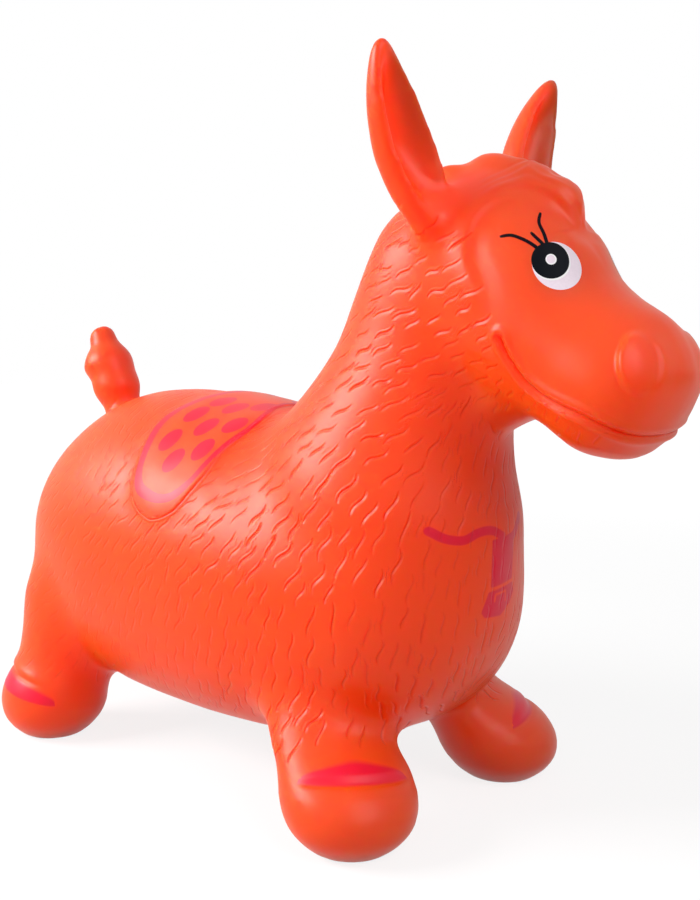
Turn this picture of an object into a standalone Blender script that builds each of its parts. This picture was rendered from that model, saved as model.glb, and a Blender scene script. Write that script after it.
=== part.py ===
"""Inflatable bouncy horse for a toddler to ride, standing on its four round feet.

Metres, +Z up, +X towards the nose, +Y to the horse's left. The origin is on the floor,
under the middle of the toy. The skin is one hollow moulding with the air valve in its belly:
lofts for the trunk, neck, head, legs, ears, tail and forelock are fused, filleted where they
meet, and then shaped with shallow modelling strokes. The lofts are drawn about the middle of
the four feet, and one empty carries everything back to the middle of the toy.
"""

import math

import bmesh
import bpy
import numpy as np
from mathutils import Vector
from mathutils.bvhtree import BVHTree

mm = 0.001

# Trunk
BACK_HEIGHT = 295 * mm
BODY_LENGTH = 484 * mm
BODY_WIDTH = 236 * mm
RUMP_SHARE = -0.526

# Feet and legs: how far ahead and behind the feet stand, how far apart, and how wide they are
FRONT_FOOT_AHEAD = 167 * mm
HIND_FOOT_BEHIND = 171 * mm
FRONT_TRACK = 174 * mm
HIND_TRACK = 184 * mm
FRONT_FOOT_WIDTH = 95 * mm
HIND_FOOT_WIDTH = 90 * mm
LEG_HEIGHT = 150 * mm
FRONT_LEAN = (83 * mm, 43 * mm)
HIND_LEAN = (10 * mm, 26 * mm)

# Neck and head
CROWN_HEIGHT = 465 * mm
NECK_WIDTH = 130 * mm
HEAD_DEPTH = 120 * mm

# Ears, tail and forelock
EAR_LENGTH = 112 * mm
EAR_WIDTH = 45 * mm
TAIL_LENGTH = 84 * mm
TAIL_WIDTH = 43 * mm
TUFT_WIDTH = 26 * mm

# Skin, and the grid and fillets that it is fused with
WALL = 3 * mm
VOXEL = 2.5 * mm
BODY_FILLET = 38 * mm
LEG_FILLET = 26 * mm
SMALL_FILLET = 8 * mm

# Modelling strokes on the skin: heights and depths along it, widths across it
MOUTH_DEPTH = 1.7 * mm
LIP_HEIGHT = 1.6 * mm
LIP_WIDTH = 8.4 * mm
BROW_STEP = 2.6 * mm
BROW_WIDTH = 14 * mm
NOSTRIL_HEIGHT = 2.4 * mm
NOSTRIL_WIDTH = 29 * mm
SADDLE_THICKNESS = 1.5 * mm
CREASE_DEPTH = 1.6 * mm
CREASE_WIDTH = 3.4 * mm
HOOF_HEIGHT = 50 * mm

# Air valve: a flanged seat in the belly and the stopper pushed up into it
VALVE_SHARE = -0.12
VALVE_HOLE_WIDTH = 22 * mm
FLANGE_RIM = 6 * mm
FLANGE_THICKNESS = 1.6 * mm
SEAT_DEPTH = 14 * mm
BORE_WIDTH = 10.4 * mm
STOPPER_HEAD_WIDTH = 19 * mm
STOPPER_HEAD_THICKNESS = 2.6 * mm
STOPPER_LENGTH = 19 * mm
STOPPER_RIBS = 4
PULL_SLOT_WIDTH = 2.4 * mm
GAP = 0.3 * mm

# Mesh density
RING_POINTS = 40
STEPS = 5
TURNED_SIDES = 32
SKIN_TRIANGLES = 9800
CAVITY_TRIANGLES = 2400

# Trunk stations: along BODY_LENGTH, top and bottom over BACK_HEIGHT, width over BODY_WIDTH
TRUNK_SHARES = (
    (0.000, 0.55, 0.54, 0.02),
    (0.012, 0.67, 0.43, 0.28),
    (0.040, 0.745, 0.34, 0.49),
    (0.090, 0.830, 0.26, 0.68),
    (0.160, 0.912, 0.195, 0.86),
    (0.250, 0.980, 0.155, 0.96),
    (0.360, 0.998, 0.135, 1.00),
    (0.480, 0.988, 0.127, 1.00),
    (0.580, 0.968, 0.130, 0.99),
    (0.700, 0.935, 0.145, 0.95),
    (0.800, 0.93, 0.180, 0.875),
    (0.880, 0.90, 0.225, 0.775),
    (0.945, 0.84, 0.32, 0.575),
    (0.983, 0.76, 0.46, 0.31),
    (1.000, 0.62, 0.59, 0.02),
)
TRUNK_SQUARENESS = (2.05, 2.5)

# Neck: centre x and z over CROWN_HEIGHT, then half depth and half width over NECK_WIDTH
NECK_SHARES = (
    (0.254, 0.355, 0.03, 0.03),
    (0.258, 0.370, 0.44, 0.44),
    (0.268, 0.430, 0.745, 0.705),
    (0.286, 0.516, 0.785, 0.705),
    (0.316, 0.602, 0.625, 0.58),
    (0.345, 0.682, 0.535, 0.48),
    (0.364, 0.757, 0.49, 0.43),
    (0.378, 0.826, 0.42, 0.415),
    (0.392, 0.888, 0.35, 0.37),
    (0.402, 0.929, 0.23, 0.25),
    (0.408, 0.946, 0.02, 0.02),
)

# Head: centre x and z over CROWN_HEIGHT, then half depth and half width over HEAD_DEPTH
HEAD_SHARES = (
    (0.350, 0.905, 0.02, 0.02),
    (0.358, 0.900, 0.22, 0.20),
    (0.402, 0.888, 0.42, 0.37),
    (0.455, 0.855, 0.515, 0.465),
    (0.521, 0.798, 0.545, 0.475),
    (0.585, 0.743, 0.450, 0.455),
    (0.640, 0.708, 0.415, 0.44),
    (0.690, 0.679, 0.410, 0.435),
    (0.729, 0.655, 0.33, 0.385),
    (0.749, 0.643, 0.23, 0.27),
    (0.759, 0.637, 0.02, 0.02),
)

# Throat: the flesh that fills the corner under the jaw, in the same shares as the head
THROAT_SHARES = (
    (0.450, 0.680, 0.02, 0.02),
    (0.470, 0.671, 0.17, 0.19),
    (0.500, 0.655, 0.20, 0.26),
    (0.530, 0.643, 0.15, 0.21),
    (0.550, 0.637, 0.02, 0.02),
)

# Leg stations: height over LEG_HEIGHT, how much of the lean towards the trunk is reached,
# then half length and half width over the foot's width
LEG_SHARES = (
    (-0.015, -0.04, 0.20, 0.20),
    (0.020, -0.04, 0.32, 0.32),
    (0.110, -0.03, 0.455, 0.455),
    (0.220, 0.02, 0.50, 0.50),
    (0.330, 0.14, 0.485, 0.485),
    (0.420, 0.35, 0.465, 0.465),
    (0.520, 0.57, 0.48, 0.475),
    (0.660, 0.77, 0.515, 0.50),
    (0.840, 0.89, 0.54, 0.51),
    (1.000, 1.00, 0.45, 0.43),
    (1.100, 1.08, 0.20, 0.20),
)

# Ears: root over CROWN_HEIGHT, HEAD_DEPTH and CROWN_HEIGHT, lean, backward bow over EAR_LENGTH;
# then stations along the ear:
# half width and half thickness over EAR_WIDTH, and how much of the thickness the cup takes
EAR_ROOT_SHARES = (0.439, 0.44, 0.917)
EAR_LEAN_SHARES = (-0.03, 0.40)
EAR_BOW_SHARE = 0.05
CUP_SHARE = 0.86
EAR_SHARES = (
    (-0.22, 0.20, 0.16, 0.0),
    (-0.12, 0.31, 0.26, 0.0),
    (0.00, 0.37, 0.31, 0.05),
    (0.12, 0.44, 0.37, 0.45),
    (0.36, 0.50, 0.38, 0.72),
    (0.52, 0.465, 0.35, 0.72),
    (0.68, 0.395, 0.30, 0.70),
    (0.82, 0.29, 0.23, 0.50),
    (0.92, 0.19, 0.165, 0.2),
    (0.98, 0.09, 0.085, 0.0),
    (1.00, 0.01, 0.01, 0.0),
)

# Tail: root over BODY_LENGTH and BACK_HEIGHT, backward lean over TAIL_LENGTH; then stations
# along it: half width over TAIL_WIDTH, and the side sway of its twist over TAIL_WIDTH
TAIL_ROOT_SHARES = (-0.384, 0.905)
TAIL_LEAN_SHARE = -0.36
TAIL_SHARES = (
    (-0.25, 0.12, 0.0),
    (-0.10, 0.40, 0.0),
    (0.08, 0.36, -0.02),
    (0.24, 0.48, -0.03),
    (0.36, 0.50, -0.01),
    (0.44, 0.47, 0.02),
    (0.58, 0.53, 0.06),
    (0.70, 0.44, 0.05),
    (0.80, 0.30, 0.04),
    (0.88, 0.28, 0.05),
    (0.96, 0.21, 0.02),
    (1.00, 0.02, 0.0),
)

# Forelock: each lock runs from a root to a tip, x and z over CROWN_HEIGHT and y over
# TUFT_WIDTH, then its half width and half thickness over TUFT_WIDTH
TUFT_SHARES = (
    ((0.385, 0.55, 0.957), (0.470, 0.62, 0.978), 0.46, 0.40),
    ((0.385, -0.55, 0.957), (0.470, -0.62, 0.978), 0.46, 0.40),
    ((0.420, 0.00, 0.980), (0.545, 0.00, 0.970), 0.52, 0.48),
    ((0.490, 0.70, 0.955), (0.580, 0.62, 0.915), 0.46, 0.40),
    ((0.490, -0.70, 0.955), (0.580, -0.62, 0.915), 0.46, 0.40),
    ((0.535, 0.00, 0.974), (0.634, 0.00, 0.896), 0.60, 0.54),
)

# Strokes seen from the side, x and z over CROWN_HEIGHT. The mouth runs from the cheek to the
# front of the muzzle, and the brow edge from the cheek up to the forelock
MOUTH_SHARES = (
    (0.561, 0.751),
    (0.569, 0.729),
    (0.586, 0.697),
    (0.611, 0.672),
    (0.652, 0.657),
    (0.695, 0.641),
    (0.725, 0.628),
    (0.752, 0.619),
    (0.800, 0.616),
)
BROW_SHARES = (
    (0.546, 0.762),
    (0.541, 0.795),
    (0.528, 0.822),
    (0.513, 0.850),
    (0.509, 0.885),
    (0.515, 0.912),
    (0.530, 0.927),
    (0.552, 0.926),
    (0.572, 0.917),
)

# Nostril: centre over CROWN_HEIGHT and HEAD_DEPTH, and its height over its width
NOSTRIL_SHARES = (0.752, 0.25, 0.715)
NOSTRIL_TALL_SHARE = 1.15

# Saddle pad seen from the side, x over BODY_LENGTH and z over BACK_HEIGHT
SADDLE_SHARES = (
    (-0.091, 1.060),
    (-0.096, 0.990),
    (-0.106, 0.957),
    (-0.112, 0.922),
    (-0.103, 0.868),
    (-0.093, 0.814),
    (-0.083, 0.762),
    (-0.060, 0.722),
    (-0.020, 0.700),
    (0.014, 0.719),
    (0.034, 0.750),
    (0.056, 0.814),
    (0.061, 0.856),
    (0.068, 0.899),
    (0.074, 0.932),
    (0.068, 0.956),
    (0.048, 0.982),
    (0.037, 1.060),
)

# Hoof crease: its rise per length towards the foot's outer corner, and how far round it
# runs, as the cosine of the angle from that corner
CREASE_RISE_SHARE = 0.24
CREASE_REACH_SHARES = (0.05, 0.65)


def clear_scene():
    for old in list(bpy.data.objects):
        bpy.data.objects.remove(old)


def smooth_rows(rows, steps=STEPS):
    """Catmull-Rom through the rows of a table, with this many steps from each row to the next."""
    table = np.array(rows, float)
    before = np.vstack([table[:1], table[:-1]])
    after = np.vstack([table[1:], table[-1:]])
    later = np.vstack([table[2:], table[-1:], table[-1:]])
    out = []
    for i in range(len(table) - 1):
        p0, p1, p2, p3 = before[i], table[i], after[i], later[i]
        for t in np.arange(steps) / steps:
            square = (2 * p0 - 5 * p1 + 4 * p2 - p3) * t**2
            cube = (3 * p1 - p0 - 3 * p2 + p3) * t**3
            out.append((2 * p1 + (p2 - p0) * t + square + cube) / 2)
    out.append(table[-1])
    return np.array(out)


def ring_angles():
    return np.arange(RING_POINTS) * 2 * math.pi / RING_POINTS


def oval(centre, across, along, half_across, half_along):
    """A ring of points round centre, in the plane of two unit vectors."""
    angles = ring_angles()
    return (
        np.array(centre)
        + np.outer(np.cos(angles) * half_across, np.array(across))
        + np.outer(np.sin(angles) * half_along, np.array(along))
    )


def loft(name, rings):
    """One closed mesh through a list of rings with the same number of points."""
    mesh = bmesh.new()
    loops = [[mesh.verts.new(p) for p in ring] for ring in rings]
    count = len(loops[0])
    for low, high in zip(loops, loops[1:]):
        for i in range(count):
            j = (i + 1) % count
            mesh.faces.new((low[i], low[j], high[j], high[i]))
    mesh.faces.new(loops[0][::-1])
    mesh.faces.new(loops[-1])
    bmesh.ops.recalc_face_normals(mesh, faces=mesh.faces)
    data = bpy.data.meshes.new(name)
    mesh.to_mesh(data)
    mesh.free()
    return data


def trunk_rings():
    """Upright rings, rounder above than below."""
    angles = ring_angles()
    rings = []
    for along, top, bottom, width in smooth_rows(TRUNK_SHARES):
        high, low = top * BACK_HEIGHT, bottom * BACK_HEIGHT
        power = np.where(np.sin(angles) > 0, *TRUNK_SQUARENESS)
        across = np.sign(np.cos(angles)) * np.abs(np.cos(angles)) ** (2 / power)
        up = np.sign(np.sin(angles)) * np.abs(np.sin(angles)) ** (2 / power)
        ring = np.empty((RING_POINTS, 3))
        ring[:, 0] = (RUMP_SHARE + along) * BODY_LENGTH
        ring[:, 1] = across * width * BODY_WIDTH / 2
        ring[:, 2] = (high + low) / 2 + up * (high - low) / 2
        rings.append(ring)
    return rings


def spine_rings(shares, size):
    """Rings square to a spine that lies in the plane of symmetry."""
    rows = smooth_rows(shares)
    spine = rows[:, :2] * CROWN_HEIGHT
    run = np.gradient(spine, axis=0)
    run /= np.linalg.norm(run, axis=1)[:, None]
    rings = []
    for (x, z), (dx, dz), (_, _, deep, wide) in zip(spine, run, rows):
        rings.append(oval((x, 0, z), (0, 1, 0), (-dz, 0, dx), wide * size, deep * size))
    return rings


def foot_of(end):
    """Reach, half track, width and lean of the front feet, for end 1, or the hind feet, -1."""
    if end == 1:
        return FRONT_FOOT_AHEAD, FRONT_TRACK / 2, FRONT_FOOT_WIDTH, FRONT_LEAN
    return HIND_FOOT_BEHIND, HIND_TRACK / 2, HIND_FOOT_WIDTH, HIND_LEAN


def leg_rings(end, side):
    """Level rings up a leg that leans in towards the trunk."""
    reach, half_track, width, (lean_x, lean_y) = foot_of(end)
    rings = []
    for up, lean, half_length, half_width in smooth_rows(LEG_SHARES):
        centre = (end * (reach - lean * lean_x), side * (half_track - lean * lean_y), up * LEG_HEIGHT)
        rings.append(oval(centre, (1, 0, 0), (0, 1, 0), half_length * width, half_width * width))
    return rings


def ear_rings(side):
    """Cupped rings up an ear that opens forwards."""
    lean_x, lean_y = EAR_LEAN_SHARES
    root = np.array(EAR_ROOT_SHARES) * (CROWN_HEIGHT, HEAD_DEPTH * side, CROWN_HEIGHT)
    axis = np.array((lean_x, lean_y * side, math.sqrt(1 - lean_x**2 - lean_y**2)))
    front = np.array((1, 0, 0)) - axis * axis[0]
    front /= np.linalg.norm(front)
    wide = np.cross(axis, front)
    angles = ring_angles()
    rings = []
    for along, half_width, half_thick, cup in smooth_rows(EAR_SHARES):
        reach = half_thick * EAR_WIDTH
        across = np.cos(angles) * half_width * EAR_WIDTH
        out = np.where(np.sin(angles) > 0, np.abs(np.sin(angles)) ** 0.6, np.sin(angles)) * reach
        bowl = np.clip(1 - (np.cos(angles) / CUP_SHARE) ** 2, 0, 1)
        out = np.where(np.sin(angles) > 0, out - bowl * cup * 2 * reach, out)
        bow = math.sin(math.pi * along) * EAR_BOW_SHARE
        centre = root + (axis * along - front * bow) * EAR_LENGTH
        rings.append(centre + np.outer(across, wide) + np.outer(out, front))
    return rings


def tail_rings():
    root = np.array((TAIL_ROOT_SHARES[0] * BODY_LENGTH, 0, TAIL_ROOT_SHARES[1] * BACK_HEIGHT))
    axis = np.array((TAIL_LEAN_SHARE, 0, math.sqrt(1 - TAIL_LEAN_SHARE**2)))
    back = np.cross(axis, (0, 1, 0))
    rings = []
    for along, half, sway in smooth_rows(TAIL_SHARES):
        centre = root + axis * along * TAIL_LENGTH + back * sway * TAIL_WIDTH
        rings.append(oval(centre, (0, 1, 0), back, half * TAIL_WIDTH, half * TAIL_WIDTH))
    return rings


def tuft_rings(root_shares, tip_shares, half_width, half_thick):
    """A teardrop lock of hair, fullest a third of the way to its tip."""
    scale = np.array((CROWN_HEIGHT, TUFT_WIDTH, CROWN_HEIGHT))
    root, tip = np.array(root_shares) * scale, np.array(tip_shares) * scale
    axis = (tip - root) / np.linalg.norm(tip - root)
    side = np.cross(axis, (0, 0, 1))
    side /= np.linalg.norm(side)
    up = np.cross(side, axis)
    rings = []
    for t in np.linspace(0, 1, 2 * STEPS + 1):
        swell = TUFT_WIDTH * (math.sin(math.pi * t**0.7) + 0.02)
        rings.append(oval(root + (tip - root) * t, side, up, half_width * swell, half_thick * swell))
    return rings


def trunk_lofts():
    """(mesh, fillet) of the limbs that are hollow in one space."""
    lofts = [
        (loft("trunk", trunk_rings()), BODY_FILLET),
        (loft("neck", spine_rings(NECK_SHARES, NECK_WIDTH)), BODY_FILLET),
        (loft("head", spine_rings(HEAD_SHARES, HEAD_DEPTH)), BODY_FILLET),
        (loft("throat", spine_rings(THROAT_SHARES, HEAD_DEPTH)), BODY_FILLET),
    ]
    for end in (1, -1):
        for side in (1, -1):
            lofts.append((loft("leg", leg_rings(end, side)), LEG_FILLET))
    return lofts


def trim_lofts():
    """(mesh, fillet) of the ears, tail and forelock."""
    lofts = [(loft("tail", tail_rings()), SMALL_FILLET)]
    for side in (1, -1):
        lofts.append((loft("ear", ear_rings(side)), SMALL_FILLET))
    for root, tip, half_width, half_thick in TUFT_SHARES:
        lofts.append((loft("tuft", tuft_rings(root, tip, half_width, half_thick)), SMALL_FILLET / 2))
    return lofts


def joined(meshes):
    """Several meshes as one, still overlapping."""
    whole = bmesh.new()
    for mesh in meshes:
        whole.from_mesh(mesh)
    data = bpy.data.meshes.new("joined")
    whole.to_mesh(data)
    whole.free()
    return data


def put(name, mesh):
    made = bpy.data.objects.new(name, mesh)
    bpy.context.scene.collection.objects.link(made)
    return made


def applied(made):
    """Applies the object's modifiers to its mesh."""
    graph = bpy.context.evaluated_depsgraph_get()
    graph.update()
    mesh = bpy.data.meshes.new_from_object(made.evaluated_get(graph))
    made.modifiers.clear()
    made.data = mesh


def points_of(mesh):
    flat = np.empty(len(mesh.vertices) * 3, np.float32)
    mesh.vertices.foreach_get("co", flat)
    return flat.reshape(-1, 3).astype(float)


def set_points(mesh, points):
    mesh.vertices.foreach_set("co", points.astype(np.float32).ravel())
    mesh.update()


def normals_of(mesh):
    flat = np.empty(len(mesh.vertices) * 3, np.float32)
    mesh.vertex_normals.foreach_get("vector", flat)
    return flat.reshape(-1, 3).astype(float)


def seam_weights(points, lofts):
    """1 where two lofts cross, falling to 0 at the smaller fillet of the two from there."""
    gaps = np.full((len(points), len(lofts)), 1.0)
    for column, (mesh, fillet) in enumerate(lofts):
        tree = BVHTree.FromPolygons(
            [v.co for v in mesh.vertices], [p.vertices for p in mesh.polygons]
        )
        corners = points_of(mesh)
        low, high = corners.min(0) - fillet, corners.max(0) + fillet
        inside = np.nonzero(((points > low) & (points < high)).all(1))[0]
        for i in inside:
            gap = tree.find_nearest(points[i], fillet)[3]
            if gap is not None:
                gaps[i, column] = gap
    fillets = np.array([fillet for _, fillet in lofts])
    owner = gaps.argmin(1)
    shares = gaps / np.minimum(fillets[owner][:, None], fillets)
    shares[np.arange(len(points)), owner] = 1
    return np.clip(1 - shares.min(1), 0, 1)


def fused(name, lofts):
    """The lofts as one surface, with a fillet where they meet."""
    made = put(name, joined([mesh for mesh, _ in lofts]))
    remesh = made.modifiers.new("fuse", "REMESH")
    remesh.mode = "VOXEL"
    remesh.voxel_size = VOXEL
    applied(made)
    weights = seam_weights(points_of(made.data), lofts)
    group = made.vertex_groups.new(name="seams")
    for i in np.nonzero(weights > 0.001)[0]:
        group.add([int(i)], float(min(1, weights[i] * 1.5)), "REPLACE")
    fillet = made.modifiers.new("fillet", "SMOOTH")
    fillet.factor = 0.5
    fillet.iterations = int((BODY_FILLET / VOXEL) ** 2)
    fillet.vertex_group = "seams"
    relax = made.modifiers.new("relax", "SMOOTH")
    relax.factor = 0.5
    relax.iterations = 4
    applied(made)
    return made


def side_line(points, line):
    """Where points lie beside a line that is seen from the side.

    Returns the distance in that view, with its sign above 0 to the line's left, and how far
    along the line the nearest place is, from 0 to 1.
    """
    seen = points[:, [0, 2]]
    best = np.full(len(points), np.inf)
    signed = np.zeros(len(points))
    along = np.zeros(len(points))
    for i, (start, end) in enumerate(zip(line, line[1:])):
        run = end - start
        share = np.clip((seen - start) @ run / (run @ run), 0, 1)
        away = seen - start - share[:, None] * run
        gap = np.hypot(away[:, 0], away[:, 1])
        nearer = gap < best
        turn = run[0] * (seen[:, 1] - start[1]) - run[1] * (seen[:, 0] - start[0])
        best = np.where(nearer, gap, best)
        signed = np.where(nearer, np.where(turn > 0, gap, -gap), signed)
        along = np.where(nearer, (i + share) / (len(line) - 1), along)
    return signed, along


def ramp(value, low, high):
    """0 up to low, 1 from high on, and smooth between them."""
    share = np.clip((value - low) / (high - low), 0, 1)
    return share * share * (3 - 2 * share)


def mouth_height(points):
    """A groove with a lip all round it, which turns back round the corner of the mouth."""
    line = smooth_rows(MOUTH_SHARES) * CROWN_HEIGHT
    gap = np.abs(side_line(points, line)[0])
    lip = np.exp(-(((gap - LIP_WIDTH / 2) / (LIP_WIDTH * 0.3)) ** 2))
    groove = np.exp(-((gap / (LIP_WIDTH * 0.24)) ** 2))
    return lip * LIP_HEIGHT - groove * MOUTH_DEPTH


def brow_height(points):
    """A soft step down from the coat of the cheek and brow to the bare face."""
    line = smooth_rows(BROW_SHARES) * CROWN_HEIGHT
    gap, along = side_line(points, line)
    fade = ramp(along, 0, 0.2) * ramp(1 - along, 0, 0.25)
    step = np.tanh(gap / (BROW_WIDTH / 5)) * np.exp(-np.abs(gap) / BROW_WIDTH)
    return step * fade * BROW_STEP / 2


def nostril_height(points):
    """A raised oval with a soft flank, on each side of the muzzle."""
    scale = np.array((CROWN_HEIGHT, HEAD_DEPTH, CROWN_HEIGHT))
    height = np.zeros(len(points))
    for side in (1, -1):
        centre = np.array(NOSTRIL_SHARES) * scale * (1, side, 1)
        away = (points - centre) / (1, 1, NOSTRIL_TALL_SHARE)
        reach = np.linalg.norm(away, axis=1) / (NOSTRIL_WIDTH / 2)
        height += (1 - ramp(reach, 0.82, 1.28)) * NOSTRIL_HEIGHT
    return height


def saddle_height(points):
    """A thin pad across the back with a rounded flap down each side."""
    scale = np.array((BODY_LENGTH, BACK_HEIGHT))
    line = smooth_rows(SADDLE_SHARES) * scale
    gap = side_line(points, np.vstack([line, line[:1]]))[0]
    return ramp(gap, -SADDLE_THICKNESS, SADDLE_THICKNESS) * SADDLE_THICKNESS


def hoof_height(points):
    """A crease round each foot's outer corner, in a plane that rises outwards."""
    height = np.zeros(len(points))
    low_cosine, high_cosine = CREASE_REACH_SHARES
    for end in (1, -1):
        reach, half_track, width, _ = foot_of(end)
        for side in (1, -1):
            away_x = points[:, 0] * end - reach
            away_y = points[:, 1] * side - half_track
            corner = (away_x + away_y) / math.sqrt(2)
            around = np.hypot(away_x, away_y)
            above = points[:, 2] - HOOF_HEIGHT - corner * CREASE_RISE_SHARE
            groove = np.exp(-((above / (CREASE_WIDTH * 0.6)) ** 2))
            cuff = np.exp(-(((above - CREASE_WIDTH * 1.7) / CREASE_WIDTH) ** 2))
            fade = ramp(corner / around, low_cosine, high_cosine) * (around < width)
            height += fade * (cuff * CREASE_DEPTH / 2 - groove * CREASE_DEPTH)
    return height


def stroked(made):
    """Raises and sinks the skin along its normals by the modelling strokes."""
    points = points_of(made.data)
    height = mouth_height(points) + brow_height(points) + nostril_height(points)
    height += saddle_height(points) + hoof_height(points)
    set_points(made.data, points + normals_of(made.data) * height[:, None])


def thinned(made, triangles):
    """Collapses the left half of a fine surface to half of the triangles, then mirrors it."""
    mesh = bmesh.new()
    mesh.from_mesh(made.data)
    everything = mesh.verts[:] + mesh.edges[:] + mesh.faces[:]
    bmesh.ops.bisect_plane(
        mesh,
        geom=everything,
        dist=VOXEL / 100,
        plane_co=(0, 0, 0),
        plane_no=(0, -1, 0),
        clear_outer=True,
    )
    bmesh.ops.triangulate(mesh, faces=mesh.faces)
    mesh.to_mesh(made.data)
    mesh.free()
    thin = made.modifiers.new("thin", "DECIMATE")
    thin.ratio = triangles / 2 / len(made.data.polygons)
    applied(made)
    half = bmesh.new()
    half.from_mesh(made.data)
    for edge in half.edges:
        if edge.is_boundary:
            for corner in edge.verts:
                corner.co.y = 0
    half.to_mesh(made.data)
    half.free()
    mirror = made.modifiers.new("mirror", "MIRROR")
    mirror.use_axis = (False, True, False)
    mirror.merge_threshold = VOXEL / 100
    applied(made)


def valve_place():
    """The middle of the flat land round the valve, on the underside of the belly."""
    rows = smooth_rows(TRUNK_SHARES)
    bottom = np.interp(VALVE_SHARE - RUMP_SHARE, rows[:, 0], rows[:, 2]) * BACK_HEIGHT
    sink = (VALVE_HOLE_WIDTH / 2 + FLANGE_RIM) ** 2 / BODY_WIDTH
    return VALVE_SHARE * BODY_LENGTH, 0, bottom + sink


def flattened(points):
    """Presses the surface flat under the feet and round the valve."""
    points[:, 2] = np.maximum(points[:, 2], 0)
    x, y, land = valve_place()
    reach = VALVE_HOLE_WIDTH / 2 + FLANGE_RIM * 1.8
    away = np.hypot(points[:, 0] - x, points[:, 1] - y)
    near = (away < reach) & (points[:, 2] < land)
    points[near, 2] = land
    return points


def moulded(name, lofts):
    made = fused(name, lofts)
    stroked(made)
    set_points(made.data, flattened(points_of(made.data)))
    return made


def cavity():
    """The space inside the skin: the trunk, neck, head and legs drawn in by the wall."""
    made = moulded("cavity", trunk_lofts())
    set_points(made.data, points_of(made.data) - normals_of(made.data) * WALL)
    again = made.modifiers.new("again", "REMESH")
    again.mode = "VOXEL"
    again.voxel_size = VOXEL * 1.6
    relax = made.modifiers.new("relax", "SMOOTH")
    relax.iterations = 3
    applied(made)
    thinned(made, CAVITY_TRIANGLES)
    return made


def turned(name, profile):
    """A body turned about the upright axis, from (radius, height) pairs.

    A profile from the axis back to the axis is a solid, and any other closes on itself.
    """
    mesh = bmesh.new()
    loops = []
    for radius, height in profile:
        corners = TURNED_SIDES if radius > 0 else 1
        loop = []
        for i in range(corners):
            angle = i * 2 * math.pi / TURNED_SIDES
            loop.append(mesh.verts.new((radius * math.cos(angle), radius * math.sin(angle), height)))
        loops.append(loop)
    if profile[0][0] > 0:
        loops.append(loops[0])
    for low, high in zip(loops, loops[1:]):
        for i in range(TURNED_SIDES):
            j = (i + 1) % TURNED_SIDES
            corners = (low[i % len(low)], low[j % len(low)], high[j % len(high)], high[i % len(high)])
            mesh.faces.new(dict.fromkeys(corners))
    bmesh.ops.recalc_face_normals(mesh, faces=mesh.faces)
    data = bpy.data.meshes.new(name)
    mesh.to_mesh(data)
    mesh.free()
    data.shade_smooth()
    data.set_sharp_from_angle(angle=math.radians(35))
    return put(name, data)


def cut(made, cutter):
    """Takes the cutter out of the object, and hides it."""
    tool = made.modifiers.new(cutter.name, "BOOLEAN")
    tool.operation = "DIFFERENCE"
    tool.solver = "EXACT"
    tool.object = cutter
    cutter.hide_render = True
    cutter.display_type = "WIRE"


def valve_hole():
    """The cutter of the round hole through the skin, wider inside to seat the inner flange."""
    radius = VALVE_HOLE_WIDTH / 2
    seat_radius = radius + FLANGE_RIM
    profile = (
        (0, -SEAT_DEPTH),
        (radius, -SEAT_DEPTH),
        (radius, WALL),
        (seat_radius, WALL),
        (seat_radius, SEAT_DEPTH),
        (0, SEAT_DEPTH),
    )
    return turned("valve_hole", profile)


def valve_seat():
    """A bush through the skin with a flange on each side of it, bonded in."""
    bore = BORE_WIDTH / 2
    barrel = VALVE_HOLE_WIDTH / 2 - GAP
    rim = VALVE_HOLE_WIDTH / 2 + FLANGE_RIM
    inner_rim = rim - FLANGE_RIM / 3
    outside = -GAP
    inside = WALL + GAP
    profile = (
        (bore, outside - FLANGE_THICKNESS),
        (rim - FLANGE_THICKNESS / 2, outside - FLANGE_THICKNESS),
        (rim, outside - FLANGE_THICKNESS / 2),
        (rim, outside),
        (barrel, outside),
        (barrel, inside),
        (inner_rim, inside),
        (inner_rim, inside + FLANGE_THICKNESS),
        (barrel * 0.8, inside + FLANGE_THICKNESS),
        (barrel * 0.7, SEAT_DEPTH),
        (bore, SEAT_DEPTH),
    )
    return turned("valve_seat", profile)


def valve_stopper():
    """A stopper with a round slotted head under the seat and a ribbed shank up its bore."""
    under = -2 * GAP - FLANGE_THICKNESS
    shank = BORE_WIDTH / 2 - GAP
    neck = shank * 0.86
    head = STOPPER_HEAD_WIDTH / 2
    profile = [
        (0, under - STOPPER_HEAD_THICKNESS),
        (head * 0.9, under - STOPPER_HEAD_THICKNESS),
        (head, under - STOPPER_HEAD_THICKNESS * 0.6),
        (head, under),
        (shank, under),
    ]
    pitch = STOPPER_LENGTH * 0.85 / STOPPER_RIBS
    for i in range(STOPPER_RIBS):
        base = under + pitch * i
        profile += [
            (shank, base + pitch * 0.45),
            (neck, base + pitch * 0.6),
            (neck, base + pitch * 0.85),
            (shank, base + pitch),
        ]
    profile += [(shank * 0.6, under + STOPPER_LENGTH), (0, under + STOPPER_LENGTH)]
    return turned("valve_stopper", profile)


def pull_slot():
    """The cutter of the coin slot across the stopper's head."""
    bottom = -2 * GAP - FLANGE_THICKNESS - STOPPER_HEAD_THICKNESS
    mesh = bmesh.new()
    bmesh.ops.create_cube(mesh, size=1)
    size = (STOPPER_HEAD_WIDTH * 0.6, PULL_SLOT_WIDTH, STOPPER_HEAD_THICKNESS)
    bmesh.ops.scale(mesh, vec=size, verts=mesh.verts)
    bmesh.ops.translate(mesh, vec=(0, 0, bottom), verts=mesh.verts)
    data = bpy.data.meshes.new("pull_slot")
    mesh.to_mesh(data)
    mesh.free()
    return put("pull_slot", data)


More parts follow.
